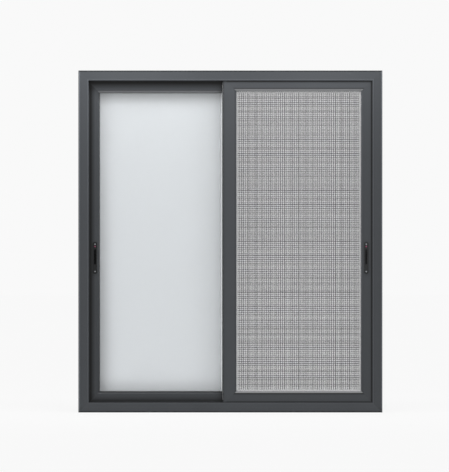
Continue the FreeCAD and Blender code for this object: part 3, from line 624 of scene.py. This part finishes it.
# %% Weave the insect mesh
mesh_low, mesh_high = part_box("screen_mesh")
MESH_SIZES = {
    "Width": mesh_high.x - mesh_low.x,
    "Height": mesh_high.z - mesh_low.z,
    "Pitch": 0.0016,
    "Thread": 0.00050,
    "Fine rhythm": 0.0094,
    "Second rhythm": 0.01066,
    "Third rhythm": 0.0214,
    "Fourth rhythm": 0.0286,
    "Broad rhythm": 0.0332,
    "Centre": (mesh_low + mesh_high) / 2,
}
THREAD_SIDES = 6
THREAD_FLATNESS = 0.8
THINNEST = 0.5
PALE_SWELL = (0.80, 0.45)
LAYER_SHIFT = 0.25
CROSSING_STRENGTH = 1.27
SWELLS = (
    ("Fine rhythm", 0.94),
    ("Second rhythm", 0.50),
    ("Third rhythm", 0.17),
    ("Fourth rhythm", 0.10),
    ("Broad rhythm", 0.21),
)


def wave(tree, position, period, share):
    """A cosine of the position, this strong."""
    turns = sums(tree, "DIVIDE", position, period)
    angle = sums(tree, "MULTIPLY", turns, 2 * math.pi)
    return sums(tree, "MULTIPLY", sums(tree, "COSINE", angle), share)


def threads(tree, source, span, length, turn, depth, strength):
    """One layer of parallel threads, as instances, with its turn, depth and rhythm strength."""
    count = sums(tree, "FLOOR", sums(tree, "DIVIDE", span, source["Pitch"]))
    start = sums(tree, "MULTIPLY", sums(tree, "SUBTRACT", count, 1.0), source["Pitch"])
    start = sums(tree, "MULTIPLY", start, -0.5)
    line = add(tree, "GeometryNodeMeshLine", {
        "Count": count,
        "Start Location": add(tree, "ShaderNodeCombineXYZ", {"X": start}).outputs["Vector"],
        "Offset": add(tree, "ShaderNodeCombineXYZ", {"X": source["Pitch"]}).outputs["Vector"],
    })
    thread = add(tree, "GeometryNodeMeshCylinder", {
        "Vertices": THREAD_SIDES, "Radius": 0.5, "Depth": 1.0})
    place = add(tree, "GeometryNodeInputPosition").outputs["Position"]
    across = add(tree, "ShaderNodeSeparateXYZ", {"Vector": place}).outputs["X"]
    swell = 1.0
    for label, share in SWELLS:
        swell = sums(tree, "ADD", swell, wave(tree, across, source[label], share * strength))
    thick = sums(tree, "MULTIPLY", source["Thread"], sums(tree, "MAXIMUM", swell, THINNEST))
    flat = sums(tree, "MULTIPLY", source["Thread"], THREAD_FLATNESS)
    scale = add(tree, "ShaderNodeCombineXYZ", {"X": thick, "Y": flat, "Z": length})
    marked = add(tree, "GeometryNodeStoreNamedAttribute", {
        "Geometry": line.outputs["Mesh"],
        "Name": "pale",
        "Value": stretched(tree, swell, *PALE_SWELL),
    }, data_type="FLOAT", domain="POINT")
    copies = add(tree, "GeometryNodeInstanceOnPoints", {
        "Points": marked.outputs["Geometry"],
        "Instance": thread.outputs["Mesh"],
        "Scale": scale.outputs["Vector"],
    })
    back = sums(tree, "MULTIPLY", flat, depth)
    moved = add(tree, "ShaderNodeVectorMath", {
        0: source["Centre"],
        1: add(tree, "ShaderNodeCombineXYZ", {"Y": back}).outputs["Vector"],
    }, operation="ADD")
    return add(tree, "GeometryNodeTransform", {
        "Geometry": copies.outputs["Instances"],
        "Rotation": (0.0, turn, 0.0),
        "Translation": moved.outputs["Vector"],
    }).outputs["Geometry"]


tree, source = start_tree("insect_mesh", MESH_SIZES)
both = add(tree, "GeometryNodeJoinGeometry")
width, height = source["Width"], source["Height"]
uprights = threads(tree, source, width, height, 0.0, -LAYER_SHIFT, 1.0)
crossing = threads(tree, source, height, width, math.pi / 2, LAYER_SHIFT, CROSSING_STRENGTH)
tree.links.new(uprights, both.inputs["Geometry"])
tree.links.new(crossing, both.inputs["Geometry"])
end_tree(tree, both.outputs["Geometry"], mesh_thread)
show("insect_mesh", grown_mesh("insect_mesh", tree, MESH_SIZES), "screen_cloth", "screen_mesh")

# %% [markdown]
# ## Bristles
# The pile seals in the frame lips and the brush on the screen's meeting stile are rows of soft
# fibres. A path of edges gives the rows, Geometry Nodes put a tapered tuft every millimetre or
# two along them, and a fixed seed makes each one lean and reach a little differently. The tufts
# stand in a backing strip, made from plain boxes.

# %% Grow bristles
TUFT_SIDES = 4
TUFT_FOOT, TUFT_TIP = 0.5, 0.3
TUFT_LEAN = 0.10
TUFT_TURN = 3.0
SHORTEST_TUFT = 0.86
SEAL_WIDTH = 0.0063
SEAL_BACKING = 0.0011
SEAL_INSETS = (0.0024, 0.0040)


def boxes(mesh, spans):
    """Add closed boxes, from low to high corners, to a bmesh."""
    for low, high in spans:
        low, high = Vector(low), Vector(high)
        size = Matrix.Diagonal((*(high - low), 1.0))
        bmesh.ops.create_cube(mesh, size=1.0, matrix=Matrix.Translation((low + high) / 2) @ size)


def rows_mesh(name, rows):
    """A mesh of loose edges, one for each row."""
    ends = [point for row in rows for point in row]
    mesh = bpy.data.meshes.new(name)
    mesh.from_pydata(ends, [(i, i + 1) for i in range(0, len(ends), 2)], [])
    return mesh


def tuft_tree(name, sizes, material):
    """Tapered tufts along the edges of the base mesh."""
    tree, source = start_tree(name, sizes)
    curves = add(tree, "GeometryNodeMeshToCurve", {"Mesh": source["Geometry"]})
    points = add(tree, "GeometryNodeResampleCurve", {
        "Curve": curves.outputs["Curve"], "Length": source["Spacing"]}, mode="LENGTH")
    tuft = add(tree, "GeometryNodeMeshCone", {
        "Vertices": TUFT_SIDES,
        "Radius Top": sums(tree, "MULTIPLY", source["Thickness"], TUFT_TIP),
        "Radius Bottom": sums(tree, "MULTIPLY", source["Thickness"], TUFT_FOOT),
        "Depth": source["Reach"],
    })
    lean = add(tree, "FunctionNodeRandomValue", {
        "Min": (-TUFT_LEAN, -TUFT_LEAN, 0.0),
        "Max": (TUFT_LEAN, TUFT_LEAN, TUFT_TURN),
        "Seed": source["Seed"],
    }, data_type="FLOAT_VECTOR")
    turned = add(tree, "FunctionNodeRotateRotation", {
        "Rotation": source["Aim"], "Rotate By": lean.outputs["Value"]}, rotation_space="LOCAL")
    length = add(tree, "FunctionNodeRandomValue", {
        "Min": (1.0, 1.0, SHORTEST_TUFT), "Max": (1.0, 1.0, 1.0), "Seed": source["Seed"],
    }, data_type="FLOAT_VECTOR")
    tufts = add(tree, "GeometryNodeInstanceOnPoints", {
        "Points": points.outputs["Curve"],
        "Instance": tuft.outputs["Mesh"],
        "Rotation": turned.outputs["Rotation"],
        "Scale": length.outputs["Value"],
    })
    end_tree(tree, tufts.outputs["Instances"], material)
    return tree


def bristle_piece(name, sizes, rows, backing, material, slot, *replaced):
    """Backing strips and the tufts that stand in them, as one piece."""
    base = rows_mesh(name + "_rows", rows)
    grown = grown_mesh(name, tuft_tree(name, sizes, material), sizes, base)
    whole = bmesh.new()
    whole.from_mesh(grown)
    boxes(whole, backing)
    bmesh.ops.recalc_face_normals(whole, faces=whole.faces)
    whole.to_mesh(grown)
    whole.free()
    show(name, grown, slot, *replaced)


def seal_rows(low, high, insets, y):
    """Rows round a rectangle in the XZ plane, each at a distance inside its edges."""
    rows = []
    for d in insets:
        corners = [
            (low.x + d, y, low.z + d),
            (high.x - d, y, low.z + d),
            (high.x - d, y, high.z - d),
            (low.x + d, y, high.z - d),
        ]
        rows += [(corners[i], corners[(i + 1) % 4]) for i in range(4)]
    return rows


def strip_boxes(low, high, near, far, y_low, y_high):
    """Four flat strips round a rectangle, between two distances inside its edges."""
    left, right = low.x, high.x
    foot, head = low.z, high.z
    return [
        ((left + near, y_low, foot + near), (right - near, y_high, foot + far)),
        ((left + near, y_low, head - far), (right - near, y_high, head - near)),
        ((left + near, y_low, foot + far), (left + far, y_high, head - far)),
        ((right - far, y_low, foot + far), (right - near, y_high, head - far)),
    ]


for end in ("front", "rear"):
    node_name = end + "_pile_seals"
    low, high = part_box(node_name)
    foot = low.x - solid_low.x
    facing = 1.0 if end == "front" else -1.0
    root = low.y if end == "front" else high.y
    reach = (high.y - low.y) - SEAL_BACKING
    middle = root + facing * (SEAL_BACKING + reach / 2)
    sizes = {
        "Spacing": 0.0017,
        "Thickness": 0.0011,
        "Reach": reach,
        "Aim": Vector((-facing * math.pi / 2, 0.0, 0.0)),
        "Seed": 4,
    }
    insets = [foot + inset for inset in SEAL_INSETS]
    rows = seal_rows(solid_low, solid_high, insets, middle)
    y_low, y_high = sorted((root, root + facing * SEAL_BACKING))
    strips = strip_boxes(solid_low, solid_high, foot, foot + SEAL_WIDTH, y_low, y_high)
    bristle_piece(end + "_pile", sizes, rows, strips, pile_fibre, "pile", node_name)

# %% [markdown]
# The brush on the screen's meeting stile sweeps the glass sash behind it. It stands along the
# stile's edge, and only the tips of its fibres come past the stile.

# %% Brush of the screen
BRUSH_SIZES = {
    "Spacing": 0.0013,
    "Thickness": 0.0010,
    "Reach": 0.0016,
    "Aim": Vector((0.0, -math.pi / 2, 0.0)),
    "Seed": 9,
}
BRUSH_INSET = 0.003
BRUSH_STEPS = (-0.0008, 0.0, 0.0008)
BACKING_OUT = 0.0006
BACKING_IN = 0.0002
BACKING_HALF = 0.0022
cover_low, cover_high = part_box("screen_edge_cover")
brush_x = stile_low.x - BRUSH_SIZES["Reach"] / 2
brush_y = cover_low.y + BRUSH_INSET
brush_rows = [((brush_x, brush_y + step, cover_low.z), (brush_x, brush_y + step, cover_high.z))
              for step in BRUSH_STEPS]
brush_back = [(
    (stile_low.x - BACKING_OUT, brush_y - BACKING_HALF, cover_low.z),
    (stile_low.x + BACKING_IN, brush_y + BACKING_HALF, cover_high.z),
)]
bristle_piece("meeting_stile_brush", BRUSH_SIZES, brush_rows, brush_back, pile_fibre, "pile")

# %% [markdown]
# ## Screws
# Each lock plate is held by two countersunk screws with a cross recess. One screw is made in
# Geometry Nodes: a low dome cut by two crossed bars. It is set on every point of a base mesh, and
# a fixed seed turns each one differently, as screws end up.

# %% Drive the screws
LOCKS = ("left_sash", "right_sash", "screen")
SCREW_FROM_TIP = 0.0105
SCREW_TURN = 1.6
SCREW_SIZES = {
    "Head": 0.0029,
    "Rise": 0.0008,
    "Recess": 0.0034,
    "Slot": 0.0008,
    "Seed": 3,
}


def screw_tree(name, sizes, material):
    """A domed head with a cross recess on each point, facing the front."""
    tree, source = start_tree(name, sizes)
    ball = add(tree, "GeometryNodeMeshUVSphere", {"Segments": 24, "Rings": 16, "Radius": 1.0})
    flat = add(tree, "ShaderNodeCombineXYZ", {
        "X": source["Head"], "Y": source["Head"], "Z": source["Rise"]}).outputs["Vector"]
    dome = add(tree, "GeometryNodeTransform", {
        "Geometry": ball.outputs["Mesh"], "Scale": flat}).outputs["Geometry"]
    cutters = []
    for long_way in (True, False):
        x = source["Recess"] if long_way else source["Slot"]
        y = source["Slot"] if long_way else source["Recess"]
        size = add(tree, "ShaderNodeCombineXYZ", {"X": x, "Y": y, "Z": source["Rise"]})
        bar = add(tree, "GeometryNodeMeshCube", {"Size": size.outputs["Vector"]}).outputs["Mesh"]
        lift = add(tree, "ShaderNodeCombineXYZ", {"Z": source["Rise"]}).outputs["Vector"]
        cutters.append(add(tree, "GeometryNodeTransform", {
            "Geometry": bar, "Translation": lift}).outputs["Geometry"])
    cut = dome
    for cutter in cutters:
        boolean = add(tree, "GeometryNodeMeshBoolean", {"Mesh 1": cut}, operation="DIFFERENCE")
        tree.links.new(cutter, boolean.inputs["Mesh 2"])
        cut = boolean.outputs["Mesh"]
    twist = add(tree, "FunctionNodeRandomValue", {
        "Min": (0.0, 0.0, 0.0), "Max": (0.0, 0.0, SCREW_TURN), "Seed": source["Seed"],
    }, data_type="FLOAT_VECTOR")
    turned = add(tree, "FunctionNodeRotateRotation", {
        "Rotation": (math.pi / 2, 0.0, 0.0), "Rotate By": twist.outputs["Value"],
    }, rotation_space="LOCAL")
    copies = add(tree, "GeometryNodeInstanceOnPoints", {
        "Points": source["Geometry"], "Instance": cut, "Rotation": turned.outputs["Rotation"]})
    end_tree(tree, copies.outputs["Instances"], material)
    return tree


places = []
for lock in LOCKS:
    low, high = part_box(lock + "_lock_plate")
    for z in (low.z + SCREW_FROM_TIP, high.z - SCREW_FROM_TIP):
        places.append(((low.x + high.x) / 2, low.y, z))
points = bpy.data.meshes.new("screw_points")
points.from_pydata(places, [], [])
tree = screw_tree("screws", SCREW_SIZES, screw_zinc)
screws = grown_mesh("lock_screws", tree, SCREW_SIZES, points)
show("lock_screws", screws, "wheel_steel")

# %% [markdown]
# ## Eased edges on the lock plates
# A cast plate has no sharp edges. A Bevel modifier rounds them, and needs a copy whose loose
# triangles are merged into one shell first. The rounded copies then stand for the plain plates.

# %% Ease the lock plates
EASE_WIDTH = 0.0009
EASE_STEPS = 3
EASE_ANGLE = math.radians(50)
SAME_POINT = 1e-6
SAME_FACE = 0.02


def eased_copy(name):
    """A copy of a solid with its sharp edges rounded."""
    shell = bmesh.new()
    shell.from_mesh(nodes[name].data)
    bmesh.ops.remove_doubles(shell, verts=shell.verts, dist=SAME_POINT)
    bmesh.ops.dissolve_limit(shell, angle_limit=SAME_FACE, verts=shell.verts, edges=shell.edges)
    mesh = bpy.data.meshes.new(name + "_eased")
    shell.to_mesh(mesh)
    shell.free()
    holder = bpy.data.objects.new(name + "_holder", mesh)
    bpy.context.scene.collection.objects.link(holder)
    bevel = holder.modifiers.new("ease", "BEVEL")
    bevel.width = EASE_WIDTH
    bevel.segments = EASE_STEPS
    bevel.limit_method = "ANGLE"
    bevel.angle_limit = EASE_ANGLE
    depsgraph = bpy.context.evaluated_depsgraph_get()
    eased = bpy.data.meshes.new_from_object(holder.evaluated_get(depsgraph))
    bpy.data.objects.remove(holder)
    eased.materials.clear()
    eased.materials.append(finish_of(name))
    return eased


for lock in LOCKS:
    node_name = lock + "_lock_plate"
    show(lock + "_lock_cover", eased_copy(node_name), "lock_metal", node_name)

# %% [markdown]
# ## Floor, world and light
# The photograph has an even, nearly white background and soft light from above the front. The
# world is white for the camera and for reflections, and dimmer as a lamp. Two soft lamps above
# the front light the head most and fade towards the sill. The floor is mostly the same white,
# with a share that takes the window's shadow.

# %% Floor and light
BACKGROUND = 0.947
WORLD_LIGHT = 0.745
LAMP_POWER = {-1.0: 7.3, 1.0: 6.0}
LAMP_SIZE = (0.30, 0.25)
LAMP_SIDE = 0.49
LAMP_FRONT = -0.42
LAMP_HEIGHT = 2.10
LAMP_AIM = 1.3
FLOOR_GLOW = 0.99
FLOOR_GLOW_SHARE = 0.86
FLOOR_TONES = (0.84, 0.88)
FLOOR_GRAIN = 0.3
FLOOR_REACH = 40.0


def seen_directly(tree):
    """1 for camera, reflection and transmission rays, and 0 for others."""
    path = add(tree, "ShaderNodeLightPath").outputs
    direct = sums(tree, "MAXIMUM", path["Is Camera Ray"], path["Is Glossy Ray"])
    return sums(tree, "MAXIMUM", direct, path["Is Transmission Ray"])


world = bpy.data.worlds.new("white_studio")
world.use_nodes = True
tree = world.node_tree
tree.nodes.clear()
lamp = add(tree, "ShaderNodeBackground", {"Color": (1.0, 1.0, 1.0, 1.0), "Strength": WORLD_LIGHT})
plain = add(tree, "ShaderNodeBackground", {
    "Color": (BACKGROUND, BACKGROUND, BACKGROUND, 1.0), "Strength": 1.0})
mix = add(tree, "ShaderNodeMixShader", {
    0: seen_directly(tree), 1: lamp.outputs[0], 2: plain.outputs[0]})
add(tree, "ShaderNodeOutputWorld", {"Surface": mix.outputs[0]})
bpy.context.scene.world = world

floor_finish = bpy.data.materials.new("floor_white")
floor_finish.use_nodes = True
tree = floor_finish.node_tree
tree.nodes.clear()
matt = add(tree, "ShaderNodeBsdfDiffuse")
dark, pale = [(tone, tone, tone) for tone in FLOOR_TONES]
tone = blend_colour(tree, grain(tree, FLOOR_GRAIN), dark, pale)
tree.links.new(tone, matt.inputs["Color"])
glow = add(tree, "ShaderNodeEmission", {
    "Color": (FLOOR_GLOW, FLOOR_GLOW, FLOOR_GLOW, 1.0), "Strength": 1.0})
share = sums(tree, "MULTIPLY", seen_directly(tree), FLOOR_GLOW_SHARE)
mix = add(tree, "ShaderNodeMixShader", {0: share, 1: matt.outputs[0], 2: glow.outputs[0]})
add(tree, "ShaderNodeOutputMaterial", {"Surface": mix.outputs[0]})

floor_mesh = bpy.data.meshes.new("floor")
corners = [(x * FLOOR_REACH, y * FLOOR_REACH, 0.0)
           for x, y in ((-1, -1), (1, -1), (1, 1), (-1, 1))]
floor_mesh.from_pydata(corners, [], [(0, 1, 2, 3)])
floor_mesh.materials.append(floor_finish)
floor = bpy.data.objects.new("floor", floor_mesh)
bpy.context.scene.collection.objects.link(floor)

for side in (-1.0, 1.0):
    light = bpy.data.lights.new("top_softbox", "AREA")
    light.shape = "RECTANGLE"
    light.size, light.size_y = LAMP_SIZE
    light.energy = LAMP_POWER[side]
    holder = bpy.data.objects.new("top_softbox", light)
    holder.location = (side * LAMP_SIDE, LAMP_FRONT, LAMP_HEIGHT)
    holder.visible_camera = False
    aim = Vector((side * LAMP_SIDE, 0.0, LAMP_AIM)) - holder.location
    holder.rotation_euler = aim.to_track_quat("-Z", "Y").to_euler()
    bpy.context.scene.collection.objects.link(holder)
print("floor, world and", len(bpy.data.lights), "lamps")

# %% [markdown]
# ## Camera
# The photograph looks straight at the window from far off. One pixel covers 4.605 mm at the
# front face, and the picture's middle is a little left of the window's and a little above it, so
# the camera stands there, level and twenty metres away.

# %% Camera
MM_PER_PIXEL = 4.605
PICTURE_HEIGHT = 472
DISTANCE = 20.0
SENSOR = 36.0
CAMERA_X, CAMERA_Z = -0.0271, 0.8128
camera_data = bpy.data.cameras.new("camera")
camera_data.sensor_width = SENSOR
camera_data.lens = SENSOR * DISTANCE / (PICTURE_HEIGHT * MM_PER_PIXEL / 1000)
camera = bpy.data.objects.new("camera", camera_data)
camera.location = (CAMERA_X, solid_low.y - DISTANCE, CAMERA_Z)
camera.rotation_euler = (math.pi / 2, 0.0, 0.0)
bpy.context.scene.collection.objects.link(camera)
bpy.context.scene.camera = camera
bpy.context.scene.view_settings.view_transform = "Standard"
print("camera lens", round(camera_data.lens, 1), "mm")
